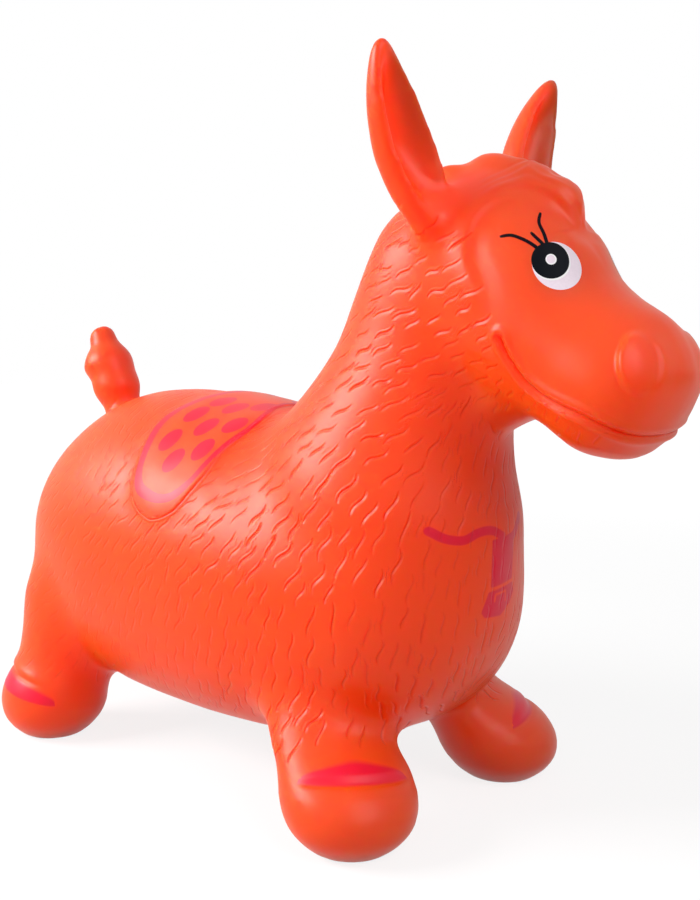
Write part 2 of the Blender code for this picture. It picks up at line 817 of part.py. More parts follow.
def material(name, colour, roughness):
    made = bpy.data.materials.new(name)
    made.use_nodes = True
    shader = made.node_tree.nodes["Principled BSDF"]
    shader.inputs["Base Color"].default_value = (*colour, 1)
    shader.inputs["Roughness"].default_value = roughness
    return made


clear_scene()
toy = put("toy", None)
body_skin = moulded("body_skin", trunk_lofts() + trim_lofts())
thinned(body_skin, SKIN_TRIANGLES)
body_skin.data.shade_smooth()
seat = valve_seat()
stopper = valve_stopper()
space = cavity()
hole = valve_hole()
slot = pull_slot()
cut(body_skin, space)
cut(body_skin, hole)
cut(stopper, slot)

for piece in (seat, stopper, hole, slot):
    piece.location = valve_place()
for piece in (body_skin, seat, stopper, space, hole, slot):
    piece.parent = toy
extent = points_of(body_skin.data)[:, 0]
toy.location.x = -(extent.min() + extent.max()) / 2

body_skin.data.materials.append(material("orange_vinyl", (0.88, 0.09, 0.015), 0.35))
seat.data.materials.append(material("seat_vinyl", (0.80, 0.06, 0.012), 0.45))
stopper.data.materials.append(material("stopper_plastic", (0.85, 0.85, 0.82), 0.4))
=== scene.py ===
import math

import bmesh
import bpy
import numpy as np
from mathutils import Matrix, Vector
from mathutils.bvhtree import BVHTree
from mathutils.kdtree import KDTree


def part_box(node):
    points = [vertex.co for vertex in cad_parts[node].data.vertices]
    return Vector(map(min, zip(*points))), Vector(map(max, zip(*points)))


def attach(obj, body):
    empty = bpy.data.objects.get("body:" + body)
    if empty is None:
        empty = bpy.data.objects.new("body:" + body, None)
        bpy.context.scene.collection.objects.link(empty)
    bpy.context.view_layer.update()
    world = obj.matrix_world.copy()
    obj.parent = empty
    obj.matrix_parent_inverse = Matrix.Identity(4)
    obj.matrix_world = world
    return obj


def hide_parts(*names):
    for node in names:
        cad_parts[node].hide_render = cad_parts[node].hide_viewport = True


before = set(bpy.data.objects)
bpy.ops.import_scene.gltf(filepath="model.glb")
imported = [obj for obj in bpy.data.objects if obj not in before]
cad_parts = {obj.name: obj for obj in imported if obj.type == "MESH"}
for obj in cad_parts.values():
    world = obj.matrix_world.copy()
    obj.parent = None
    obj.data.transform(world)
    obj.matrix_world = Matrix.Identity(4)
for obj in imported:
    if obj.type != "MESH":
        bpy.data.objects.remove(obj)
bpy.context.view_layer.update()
scene = bpy.context.scene
mm = 0.001

# The camera stands in front of the horse's right shoulder, a little above its back, and looks
# across at the chest. Every place on the horse is given in millimetres from the middle of its
# four feet. The valve's seat tells where that is: it lies 12% of the body's length behind.
BODY_LENGTH = 484 * mm
VALVE_BEHIND_FEET = 0.12 * BODY_LENGTH
CAMERA_TURN = math.radians(41.85)
CAMERA_RISE = math.radians(7.15)
CAMERA_PLACE = Vector((690, -670.5, 370))
valve_low, valve_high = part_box("valve_seat")
valve_axis = (valve_low + valve_high) / 2
feet_middle = Vector((valve_axis.x + VALVE_BEHIND_FEET, 0, 0))
towards_camera = Vector(
    (
        math.sin(CAMERA_TURN) * math.cos(CAMERA_RISE),
        -math.cos(CAMERA_TURN) * math.cos(CAMERA_RISE),
        math.sin(CAMERA_RISE),
    )
)
camera = bpy.data.objects.new("camera", bpy.data.cameras.new("camera"))
scene.collection.objects.link(camera)
camera.location = feet_middle + CAMERA_PLACE * mm
camera.rotation_mode = "QUATERNION"
camera.rotation_quaternion = (-towards_camera).to_track_quat("-Z", "Y")
camera.data.sensor_width = 36
camera.data.lens = 48
scene.camera = camera

# The skin is one hollow moulding of soft vinyl, made in a hot mould that turns until the vinyl
# coats it. Its form comes from the CAD solid's outside, with each facet swelled between its
# corner normals, on an even grid that is fine enough for the mouth, the folds and the strokes.
SKIN_GRID = 1.6 * mm
SKIN_WALL = 3 * mm
VALVE_HOLE_RADIUS = 11 * mm
SAME_PLACE = 0.001 * mm
FACET_SPLITS = 3
FACET_SWELL = 0.75
FACET_EASE = 8


def points_of(mesh):
    flat = np.empty(len(mesh.vertices) * 3, np.float32)
    mesh.vertices.foreach_get("co", flat)
    return flat.reshape(-1, 3).astype(float)


def set_points(mesh, points):
    mesh.vertices.foreach_set("co", points.astype(np.float32).ravel())
    mesh.update()


def normals_of(mesh):
    flat = np.empty(len(mesh.vertices) * 3, np.float32)
    mesh.vertex_normals.foreach_get("vector", flat)
    return flat.reshape(-1, 3).astype(float)


def in_valve_hole(v, radius):
    """Whether a corner of the skin lies within this radius of the valve's axis, at the belly."""
    from_axis = math.hypot(v.co.x - valve_axis.x, v.co.y - valve_axis.y)
    return from_axis < radius and v.co.z < valve_high.z


def outside_of(node):
    """The outer surface of the hollow solid, closed over the valve hole, in triangles."""
    shell = bmesh.new()
    shell.from_mesh(node.data)
    bmesh.ops.remove_doubles(shell, verts=shell.verts, dist=SAME_PLACE)
    hole = VALVE_HOLE_RADIUS * 1.01
    bore = [face for face in shell.faces if all(in_valve_hole(v, hole) for v in face.verts)]
    bmesh.ops.delete(shell, geom=bore, context="FACES")
    top = max(shell.verts, key=lambda v: v.co.z)
    found, waiting = {top}, [top]
    while waiting:
        for edge in waiting.pop().link_edges:
            for v in edge.verts:
                if v not in found:
                    found.add(v)
                    waiting.append(v)
    bmesh.ops.delete(shell, geom=[v for v in shell.verts if v not in found], context="VERTS")
    rim = [edge for edge in shell.edges if edge.is_boundary]
    bmesh.ops.contextual_create(shell, geom=rim)
    bmesh.ops.triangulate(shell, faces=shell.faces)
    bmesh.ops.recalc_face_normals(shell, faces=shell.faces)
    mesh = bpy.data.meshes.new("outside")
    shell.to_mesh(mesh)
    shell.free()
    return mesh


def swelled(mesh, steps):
    """Each triangle split in steps along its edges, and rounded between its corner normals."""
    corners = np.array([tuple(face.vertices) for face in mesh.polygons])
    points = points_of(mesh)[corners]
    leans = normals_of(mesh)[corners]
    spots = [(i, j, steps - i - j) for i in range(steps + 1) for j in range(steps + 1 - i)]
    place = {spot: n for n, spot in enumerate(spots)}
    shares = np.array(spots) / steps
    flat = np.einsum("kc,mcx->mkx", shares, points)
    drop = np.einsum("mkcx,mcx->mkc", flat[:, :, None] - points[:, None], leans)
    swell = FACET_SWELL * np.einsum("kc,mkc,mcx->mkx", shares, drop, leans)
    round_points = flat - swell
    small = []
    for i, j, k in spots:
        if k > 0:
            small.append((place[i, j, k], place[i + 1, j, k - 1], place[i, j + 1, k - 1]))
        if k > 1:
            small.append(
                (place[i + 1, j, k - 1], place[i + 1, j + 1, k - 2], place[i, j + 1, k - 1])
            )
    shift = np.arange(len(points))[:, None, None] * len(spots)
    faces = (np.array(small)[None] + shift).reshape(-1, 3)
    made = bpy.data.meshes.new("swelled")
    made.vertices.add(len(points) * len(spots))
    made.vertices.foreach_set("co", round_points.astype(np.float32).ravel())
    made.loops.add(faces.size)
    made.loops.foreach_set("vertex_index", faces.astype(np.int32).ravel())
    made.polygons.add(len(faces))
    made.polygons.foreach_set("loop_start", np.arange(0, faces.size, 3, dtype=np.int32))
    made.update(calc_edges=True)
    return made


def put(name, mesh):
    made = bpy.data.objects.new(name, mesh)
    scene.collection.objects.link(made)
    return made


def eased(made, times, group=""):
    """Smooths a piece so many times, all of it or by a group's weights, and applies it all."""
    ease = made.modifiers.new("ease", "SMOOTH")
    ease.factor = 0.5
    ease.iterations = times
    ease.vertex_group = group
    graph = bpy.context.evaluated_depsgraph_get()
    graph.update()
    mesh = bpy.data.meshes.new_from_object(made.evaluated_get(graph))
    made.modifiers.clear()
    made.data = mesh


skin = put("vinyl_skin", swelled(outside_of(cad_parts["body_skin"]), FACET_SPLITS))
even = skin.modifiers.new("even", "REMESH")
even.mode = "VOXEL"
even.voxel_size = SKIN_GRID
eased(skin, FACET_EASE)

# The valve's hole goes through the belly, and its wall turns up into the hollow.
cut = bmesh.new()
cut.from_mesh(skin.data)
middle = [v for v in cut.verts if in_valve_hole(v, VALVE_HOLE_RADIUS)]
bmesh.ops.delete(cut, geom=middle, context="VERTS")
rim = [edge for edge in cut.edges if edge.is_boundary]
for v in {v for edge in rim for v in edge.verts}:
    reach = math.hypot(v.co.x - valve_axis.x, v.co.y - valve_axis.y)
    v.co.x = valve_axis.x + (v.co.x - valve_axis.x) * VALVE_HOLE_RADIUS / reach
    v.co.y = valve_axis.y + (v.co.y - valve_axis.y) * VALVE_HOLE_RADIUS / reach
wall = bmesh.ops.extrude_edge_only(cut, edges=rim)
for made in wall["geom"]:
    if isinstance(made, bmesh.types.BMVert):
        made.co.z += SKIN_WALL
cut.to_mesh(skin.data)
cut.free()

# The moulded relief is cut in the mould itself: the mouth's groove between two lips, the brow
# step round the bare face, the nostrils, the pad of the saddle, the forelock and the crease
# above each hoof. Every line is seen from the side.
MOUTH_LINE = ((262.5, 347), (266, 338), (271.5, 329), (280, 318.5), (295, 309.5), (318, 301))
MOUTH_LINE += ((334, 293.5), (345, 288), (356, 285), (374, 283))
FACE_LINE = ((254, 354), (252, 370), (245.5, 382), (238.5, 395), (237, 411), (239.5, 424))
FACE_LINE += ((246.5, 431), (257, 430.5), (266, 426.5))
FORELOCK_LINE = ((228, 427), (236.8, 431.7), (244.2, 438.7), (254, 442), (267.6, 438.9))
FORELOCK_LINE += ((277.4, 431.8), (285, 421.1), (290, 414))
SADDLE_LINE = ((-44, 313), (-46.5, 292), (-51, 282), (-54, 272), (-50, 256), (-45, 240))
SADDLE_LINE += ((-40, 225), (-29, 213), (-10, 206.5), (7, 212), (16.5, 221), (27, 240))
SADDLE_LINE += ((29.5, 252.5), (33, 265), (36, 275), (33, 282), (23, 290), (18, 313))


def smooth_line(line, steps=6):
    """Catmull-Rom through the points of a line."""
    table = np.array(line, float)
    ends = np.vstack([2 * table[0] - table[1], table, 2 * table[-1] - table[-2]])
    out = []
    for p0, p1, p2, p3 in zip(ends, ends[1:], ends[2:], ends[3:]):
        for t in np.arange(steps) / steps:
            square = (2 * p0 - 5 * p1 + 4 * p2 - p3) * t**2
            cube = (3 * p1 - p0 - 3 * p2 + p3) * t**3
            out.append((2 * p1 + (p2 - p0) * t + square + cube) / 2)
    return np.array([*out, table[-1]])


def beside(seen, line):
    """How far points lie from a line, above 0 on its left, and how far along it, 0 to 1."""
    best, signed, along = (np.full(len(seen), np.inf), np.zeros(len(seen)), np.zeros(len(seen)))
    for i, (start, end) in enumerate(zip(line, line[1:])):
        run = end - start
        share = np.clip((seen - start) @ run / (run @ run), 0, 1)
        gap = np.hypot(*(seen - start - share[:, None] * run).T)
        nearer = gap < best
        left = run[0] * (seen[:, 1] - start[1]) > run[1] * (seen[:, 0] - start[0])
        best = np.where(nearer, gap, best)
        signed = np.where(nearer, np.where(left, gap, -gap), signed)
        along = np.where(nearer, (i + share) / (len(line) - 1), along)
    return signed, along


def ramp(value, low, high):
    """0 below low and 1 above high, with a smooth turn at both."""
    share = np.clip((value - low) / (high - low), 0, 1)
    return share * share * (3 - 2 * share)


def ridge(gap, half):
    """1 on a line and near 0 at twice this half width from it."""
    return np.exp(-((gap / half) ** 2))


def within(seen, outline):
    """How deep points lie inside a closed outline, below 0 outside it."""
    closed = np.vstack([outline, outline[:1]])
    depth = np.abs(beside(seen, closed)[0])
    crossings = np.zeros(len(seen), int)
    for (x0, y0), (x1, y1) in zip(closed, closed[1:]):
        spans = (seen[:, 1] > min(y0, y1)) & (seen[:, 1] <= max(y0, y1))
        if y0 != y1:
            crossings += spans & (seen[:, 0] < x0 + (seen[:, 1] - y0) * (x1 - x0) / (y1 - y0))
    return np.where(crossings % 2 == 1, depth, -depth)


# Depths, heights and widths are in millimetres. A pair is where a change starts and ends.
MOUTH_GROOVE = 1.7
MOUTH_HALF = 1.5
LIP_HEIGHT = 1.5
LIP_HALF = 2.2
LIP_APART = 9.4
LIPS_FADE = (335, 356)
BROW_STEP = 2.6
BROW_EDGE = 2.4
BROW_FADE = 14
SADDLE_STEP = 1.1
SADDLE_EDGE = 1.2
FRONT_CORNER = (167, 87)
HIND_CORNER = (-171, 92)
CREASE_HEIGHT = 50
CREASE_SLOPE = 0.24
CREASE_DEPTH = 1.4
CREASE_HALF = 1.7
CREASE_TOP = 90
CREASE_ENDS = (60, 95)
FRONT_FOLD_DROP = 3.0
CUFF_ABOVE = 5
CUFF_HALF = 3.2
NOSTRIL = (350.5, 37.5, 332.5)
NOSTRIL_AHEAD = (0.745, -0.667, 0)
NOSTRIL_HALF_WIDE = 12.5
NOSTRIL_HALF_TALL = 17.0
NOSTRIL_RISE = 5.5
SNOUT_RADIUS = 45
FAR_OUT = 9
CROWN_FROM = (405, 415)
CROWN_TO = 462
CROWN_ASIDE = (38, 48)
BODY_FROM = (125, 165)
BODY_TO = (385, 415)
CHEST_END = (215, 240)
RUMP_END = (-215, -185)
EARS_FROM = (455, 475)
EARS_WEIGHT = 0.18
RELIEF_EASE = 110

away = (points_of(skin.data) - np.array(feet_middle)) / mm
side_view = away[:, [0, 2]]
mouth_side = beside(side_view, smooth_line(MOUTH_LINE))[0]
mouth_gap = np.abs(mouth_side)
face_outline = smooth_line(FACE_LINE)
face_gap, face_along = beside(side_view, face_outline)
saddle_outline = smooth_line(SADDLE_LINE)
saddle_depth = within(side_view, saddle_outline)

# Round each foot's outer corner the crease lies in a plane that rises outwards.
front = away[:, 0] > 0
foot_ahead = np.where(front, away[:, 0] - FRONT_CORNER[0], HIND_CORNER[0] - away[:, 0])
foot_aside = np.abs(away[:, 1]) - np.where(front, FRONT_CORNER[1], HIND_CORNER[1])
corner_reach = (foot_ahead + foot_aside) / math.sqrt(2)
crease_above = away[:, 2] - CREASE_HEIGHT - corner_reach * CREASE_SLOPE
turn_from_corner = np.degrees(np.arctan2(foot_aside - foot_ahead, foot_aside + foot_ahead))

# Each nostril is a flat oval that stands proud at its back and sinks to nothing in front.
mirrored = away * (1, -1, 1)
nostril_away = np.where(away[:, 1:2] < 0, mirrored, away) - np.array(NOSTRIL)
nostril_u = nostril_away @ NOSTRIL_AHEAD
nostril_reach = np.hypot(nostril_u / NOSTRIL_HALF_WIDE, nostril_away[:, 2] / NOSTRIL_HALF_TALL)
on_snout = np.linalg.norm(nostril_away, axis=1) < SNOUT_RADIUS
nostril_reach = np.where(on_snout, nostril_reach, FAR_OUT)

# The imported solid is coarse, so it is eased where relief is cut, and on the plain body and neck.
# Each row is the distance from a feature, where the easing is full, where it ends, its weight.
lock_gap, lock_along = beside(side_view, smooth_line(FORELOCK_LINE))
on_crown = ramp(away[:, 2], *CROWN_FROM) * (1 - ramp(np.abs(away[:, 1]), *CROWN_ASIDE))
on_crown *= away[:, 2] < CROWN_TO
plain_body = ramp(away[:, 2], *BODY_FROM) * (1 - ramp(away[:, 2], *BODY_TO))
plain_body *= (1 - ramp(away[:, 0], *CHEST_END)) * ramp(away[:, 0], *RUMP_END)
worked = np.maximum(plain_body, ramp(away[:, 2], *EARS_FROM) * EARS_WEIGHT)
for gap, full, none, weight in (
    (lock_gap, 10, 20, on_crown),
    (mouth_gap, 9, 17, 1),
    (face_gap, 6, 14, 0.7),
    (saddle_depth, 7, 14, 1),
    (nostril_reach, 1.5, 2.1, 1),
    (crease_above, 8, 14, away[:, 2] < CREASE_TOP),
):
    worked = np.maximum(worked, (1 - ramp(np.abs(gap), full, none)) * weight)
worked_group = skin.vertex_groups.new(name="worked")
for i in np.nonzero(worked > 0.01)[0]:
    worked_group.add([int(i)], float(worked[i]), "REPLACE")
eased(skin, RELIEF_EASE, "worked")

groove = ridge(mouth_gap, MOUTH_HALF)
lip = ridge(mouth_gap - LIP_APART / 2, LIP_HALF)
relief = (lip * LIP_HEIGHT - groove * MOUTH_GROOVE) * (1 - 0.85 * ramp(away[:, 0], *LIPS_FADE))
face_ends = ramp(face_along, 0.04, 0.32) * ramp(1 - face_along, 0, 0.25)
brow = np.tanh(face_gap / BROW_EDGE) * np.exp(-np.abs(face_gap) / BROW_FADE)
relief += brow * BROW_STEP / 2 * face_ends
relief += ramp(saddle_depth, -SADDLE_EDGE, SADDLE_EDGE) * SADDLE_STEP
flank = 1 - ramp(nostril_reach, 0.88, 1.2)
slant = np.clip(0.32 - 0.68 * nostril_u / NOSTRIL_HALF_WIDE, -0.5, 1)
relief += flank * slant * NOSTRIL_RISE
on_side = front & (turn_from_corner > 0)
past_corner = np.where(on_side, turn_from_corner + 22, np.abs(turn_from_corner))
crease_fade = (1 - ramp(past_corner, *CREASE_ENDS)) * (away[:, 2] < CREASE_TOP)
above_fold = crease_above + np.where(front, FRONT_FOLD_DROP, 0)
crease = ridge(above_fold, CREASE_HALF)
cuff = ridge(above_fold - CUFF_ABOVE, CUFF_HALF)
relief += (cuff * 0.5 - crease) * CREASE_DEPTH * crease_fade

# The forelock lies flatter over the brow than it does in the solid and fuller on the crown,
# with a crisp lower edge down to its tip and soft strands above it. Each lump is a centre, a
# radius and a rise, and each strand's groove a distance from the edge and a depth.
FORELOCK_LUMPS = (((250, 0, 452), 13, 6.0), ((268, 0, 457), 14, -6.5), ((291, 0, 419), 15, -5.5))
FORELOCK_GROOVES = ((6, 0.5), (11, 0.6), (17, 0.5))
FORELOCK_STEP = 1.3
FORELOCK_EDGE = 1.8
FORELOCK_FADE = 8
STRAND_HALF = 1.5
for centre, radius, rise in FORELOCK_LUMPS:
    relief += rise * ridge(np.linalg.norm(away - np.array(centre), axis=1), radius)
on_crown *= ramp(lock_along, 0.05, 0.4) * ramp(1 - lock_along, 0, 0.05)
lock = np.tanh(lock_gap / FORELOCK_EDGE) * np.exp(-np.abs(lock_gap) / FORELOCK_FADE)
lock *= FORELOCK_STEP
for apart, depth in FORELOCK_GROOVES:
    lock -= ridge(lock_gap - apart, STRAND_HALF) * depth
relief += lock * on_crown
carved = points_of(skin.data) + normals_of(skin.data) * relief[:, None] * mm
carved[:, 2] = np.maximum(carved[:, 2], 0)
set_points(skin.data, carved)

place = points_of(skin.data)
lean = normals_of(skin.data)
away = (place - np.array(feet_middle)) / mm
side_view = away[:, [0, 2]]

# The coat is engraved in the mould as short wavy strokes that follow the hair: down the
# shoulders and legs, back along the neck, across the back, and finest on the throat and rump.
# They are cut in the mesh, and the vinyl's bump sharpens them.

# Each row is a place from the side, with the strokes' slope in degrees, length and depth there.
COAT = (
    ((200, 400), 26, 18, 0.8),
    ((150, 390), 26, 17, 0.5),
    ((215, 360), 27, 19, 1.0),
    ((170, 330), 27, 19, 0.9),
    ((225, 320), 22, 16, 0.7),
    ((130, 300), 34, 18, 0.5),
    ((180, 285), 34, 21, 1.1),
    ((120, 250), 50, 22, 0.9),
    ((160, 240), 62, 24, 1.3),
    ((190, 200), 74, 24, 1.1),
    ((120, 195), 66, 23, 1.3),
    ((150, 150), 78, 22, 1.2),
    ((150, 90), 82, 20, 1.1),
    ((60, 240), 46, 18, 0.4),
    ((60, 190), 58, 19, 0.8),
    ((70, 130), 76, 18, 0.8),
    ((0, 160), 64, 18, 0.5),
    ((-20, 100), 74, 17, 0.4),
    ((-60, 180), 56, 15, 0.35),
    ((-110, 270), 105, 14, 0.3),
    ((-160, 230), 36, 14, 0.35),
    ((-200, 170), 30, 12, 0.35),
    ((-150, 120), 40, 14, 0.35),
    ((-180, 90), 58, 11, 0.4),
    ((218, 190), 84, 18, 0.5),
    ((235, 280), 84, 15, 0.6),
    ((300, 288), 60, 12, 0.7),
)
coat_spots = np.array([row[0] for row in COAT], float)
coat_facts = np.array([row[1:] for row in COAT], float)


def coat_at(points):
    """Slope in radians, length in mm and depth of the strokes at these points."""
    gaps2 = ((points[:, None, [0, 2]] - coat_spots[None]) ** 2).sum(2) + 20
    shares = gaps2**-1.5
    shares /= shares.sum(1, keepdims=True)
    facts = shares @ coat_facts
    return np.radians(facts[:, 0]), facts[:, 1], facts[:, 2]


def hair_run(points, leans):
    """Unit vectors along the hair, up and forwards, in the surface."""
    slope = coat_at(points)[0][:, None]
    inward = np.zeros_like(points)
    inward[:, 1] = -np.sign(points[:, 1] + 0.001) * 0.8 * leans[:, 2]
    inward[:, 2] = 1
    up = inward - (inward * leans).sum(1)[:, None] * leans
    up /= np.linalg.norm(up, axis=1)[:, None] + 1e-6
    ahead = np.array((1.0, 0, 0)) - leans[:, :1] * leans
    run = np.cos(slope) * ahead + np.sin(slope) * up
    return run / (np.linalg.norm(run, axis=1)[:, None] + 1e-6)


CELL = 25.0
MOST_TRIES = 60000
LEAST_ROOM = 17
ROOM_ALONG = 0.92
ROOM_ASIDE = 0.43
STROKE_STEP = 1.0
STROKE_CUT = 0.4
STROKE_HALF = 1.3
STROKE_ENDS = (2.6, 4.2)
STROKE_REACH = 5.0
SURFACE_REACH = 6

# How deep in the coat each point lies. The coat leaves out the bare face, the lips, the saddle,
# the hooves, the crown, the legs' insides, the tops of the feet, the tail and the belly.
bare_face = np.array([*FACE_LINE[::-1], *MOUTH_LINE, (420, 286), (420, 560), (240, 560)], float)
clear = np.minimum.reduce(
    [
        -within(side_view, bare_face) - 2,
        mouth_gap - 9.5,
        -within(side_view, saddle_outline) - 2,
        crease_above - 13,
        np.where(away[:, 0] > 195, 416, 430) - away[:, 2],
        np.where(away[:, 2] < 165, (lean[:, 1] * np.sign(away[:, 1]) + 0.1) * 50, 50),
        np.where(away[:, 2] < 120, (0.7 - lean[:, 2]) * 50, 50),
        np.where(away[:, 0] < -150, 292 - away[:, 2] - np.clip(30 - np.abs(away[:, 1]), 0, 30), 50),
        (lean[:, 2] + 0.72) * 30,
    ]
)
rng = np.random.default_rng(7)
order = rng.permutation(np.nonzero(clear > 0)[0])[:MOST_TRIES]
_, lengths, depths = coat_at(away[order])
runs = hair_run(away[order], lean[order])
ROUND_CELL = [(dx, dy, dz) for dx in (-1, 0, 1) for dy in (-1, 0, 1) for dz in (-1, 0, 1)]
taken = {}


def crowded(n, key):
    """Whether a stroke that is already placed lies in the room that this one needs."""
    room = max(lengths[n], LEAST_ROOM)
    for dx, dy, dz in ROUND_CELL:
        for m in taken.get((key[0] + dx, key[1] + dy, key[2] + dz), ()):
            step = away[order[n]] - away[order[m]]
            along = step @ runs[n]
            aside2 = step @ step - along * along
            if (along / (room * ROOM_ALONG)) ** 2 + aside2 / (room * ROOM_ASIDE) ** 2 < 1:
                return True
    return False


seeds = []
for n, i in enumerate(order):
    key = tuple((away[i] // CELL).astype(int))
    if not crowded(n, key):
        taken.setdefault(key, []).append(n)
        seeds.append(n)
surface = BVHTree.FromPolygons(
    [Vector(p) for p in away], [tuple(face.vertices) for face in skin.data.polygons]
)
stroke_points = []
for n in seeds:
    length = lengths[n] * rng.uniform(0.8, 1.2)
    bend = rng.uniform(0.3, 1.0) * length * (0.055 + 0.03 * depths[n])
    turn = rng.normal(0, 0.1)
    depth = depths[n] * rng.uniform(0.6, 1.15)
    normal = lean[order[n]]
    run = runs[n] * math.cos(turn) + np.cross(normal, runs[n]) * math.sin(turn)
    aside = np.cross(normal, run)
    steps = max(6, int(length / STROKE_STEP))
    for k in range(steps + 1):
        t = k / steps
        spot = away[order[n]] + run * (t - 0.5) * length + aside * bend * math.sin(2 * math.pi * t)
        heading = run * length + aside * bend * 2 * math.pi * math.cos(2 * math.pi * t)
        found, found_normal, _, gap = surface.find_nearest(Vector(spot))
        if gap < SURFACE_REACH:
            taper = min(1, 4 * t, 4 * (1 - t)) ** 0.7
            rearward = np.cross(found_normal, heading / np.linalg.norm(heading))
            if found.y > 0:
                rearward = -rearward
            stroke_points.append((*found, *rearward, taper * depth))
stroke_points = np.array(stroke_points)
tree = KDTree(len(stroke_points))
for k, row in enumerate(stroke_points):
    tree.insert(row[:3], k)
tree.balance()
across = np.full(len(away), STROKE_REACH)
presence = np.zeros(len(away))
for i in np.nonzero(clear > -14)[0]:
    _, k, gap = tree.find(away[i])
    if gap < STROKE_REACH:
        row = stroke_points[k]
        across[i] = (away[i] - row[:3]) @ row[3:6]
        presence[i] = row[6] * (1 - ramp(np.array(gap), *STROKE_ENDS))
engraved = STROKE_CUT * presence * ridge(across, STROKE_HALF)
set_points(skin.data, place - lean * engraved[:, None] * mm)

# The saddle's edge and the mouth's line are sharpened by the same bump as the strokes, and their
# grooves get the same painted shade.
BACK_FROM = 195
SADDLE_LINE_HALF = 2.4
SADDLE_LINE_DEPTH = 0.9
MOUTH_LINE_HALF = 3.2
MOUTH_LINE_DEPTH = 1.1
MOUTH_LINE_FADE = (340, 372)
on_back = away[:, 2] > BACK_FROM
saddle_edge = (np.abs(saddle_depth) < SADDLE_LINE_HALF) & on_back
across = np.where(saddle_edge, -saddle_depth, across)
presence = np.where(saddle_edge, SADDLE_LINE_DEPTH, presence)
in_mouth = mouth_gap < MOUTH_LINE_HALF
across = np.where(in_mouth, -mouth_side, across)
mouth_presence = MOUTH_LINE_DEPTH * (1 - ramp(away[:, 0], *MOUTH_LINE_FADE))
presence = np.where(in_mouth, mouth_presence, presence)

# Magenta paint is sprayed through masks: the saddle's band and spots, a strap with a buckle on
# the chest, and a soft crescent over each hoof. Each vertex holds how far inside the nearest
# painted edge it lies, counted in widths of that edge's softness.

# The saddle is drawn on the back rolled out flat: how far ahead, and how far round from the top.
BACK_ROUND = 121
BACK_CENTRE = 168
BAND_WIDE = 4.2
BAND_WIDER_BEHIND = 4.4
BAND_WIDER_BELOW = 2.8
BAND_SOFT = 0.45
SPOT_HALF_LONG = 7.8
SPOT_HALF_ROUND = 11.5
SPOT_HALF = 8
SPOT_TURN = (0.96, 0.28)
STRAP_SOFT = 1.1
HOOF_SOFT = 3.4
HOOF_CRISP = 1.6
UNPAINTED = -9
round_back = np.column_stack(
    [away[:, 0], BACK_ROUND * np.arctan2(np.abs(away[:, 1]), away[:, 2] - BACK_CENTRE)]
)
BAND_LINE = ((-36, -20), (-38, 3), (-44, 33), (-49.5, 53), (-51.5, 72), (-47, 94), (-42, 114))
BAND_LINE += ((-36, 127), (-27, 134), (-8, 137), (9, 132.5), (20, 118), (27.5, 94), (32, 76))
BAND_LINE += ((36, 58), (34.5, 40), (25, 8), (22, -20))
SPOTS = ((-22.4, 54.5), (-1.3, 65.5), (-23.7, 85), (-7.8, 101.5), (13.2, 87.5), (21.4, 57))
SPOTS += ((-17.7, 30), (1.6, 35.5), (18.7, 21.5))
band_depth = within(round_back, smooth_line(BAND_LINE))
behind = ramp(-round_back[:, 0], 0, 30) * (1 - 0.3 * ramp(round_back[:, 1], 60, 110))
band_width = BAND_WIDE + BAND_WIDER_BEHIND * behind
band_width += BAND_WIDER_BELOW * ramp(round_back[:, 1], 108, 132)
painted = np.minimum(band_depth, band_width - band_depth) / BAND_SOFT
for spot in SPOTS:
    off_x, off_round = (round_back - spot).T
    ahead = off_x * SPOT_TURN[0] + off_round * SPOT_TURN[1]
    down = off_round * SPOT_TURN[0] - off_x * SPOT_TURN[1]
    reach = np.hypot(ahead / SPOT_HALF_LONG, down / SPOT_HALF_ROUND)
    painted = np.maximum(painted, (1 - reach) * SPOT_HALF / BAND_SOFT)
painted = np.where(on_back & (np.abs(away[:, 0]) < 90), painted, UNPAINTED)

# The harness is seen from the front. Each strap is a line and half its width.
front_view = away[:, 1:]
STRAPS = (
    (((-55, 218), (-46, 212.5), (-34, 210.5), (-22, 214.5), (-10, 214.5), (2, 209)), 3.1),
    (((8, 206), (16, 207.5), (22, 212), (29, 219)), 3.3),
)
BUCKLE = ((-10, 208), (17.5, 208), (17.5, 176.5), (-9, 174))
TAB = ((-11, 171.5), (19, 174), (21.5, 167), (16, 159), (5, 152), (-13, 153.5), (-17, 158))
TONGUE = (((-4, 164), (-3.5, 168.5), (9, 169.5), (9.5, 162)), 0.8)
harness = np.maximum(
    within(front_view, np.array(BUCKLE, float)), within(front_view, np.array(TAB, float))
)
for line, half in STRAPS:
    harness = np.maximum(harness, half - np.abs(beside(front_view, smooth_line(line))[0]))
bare_line = np.abs(beside(front_view, np.array(TONGUE[0], float))[0]) - TONGUE[1]
harness = np.minimum(harness, bare_line)
on_chest = (away[:, 0] > 190) & (away[:, 2] < 235)
harness = np.where(on_chest, harness / STRAP_SOFT, UNPAINTED)
painted = np.maximum(painted, harness)

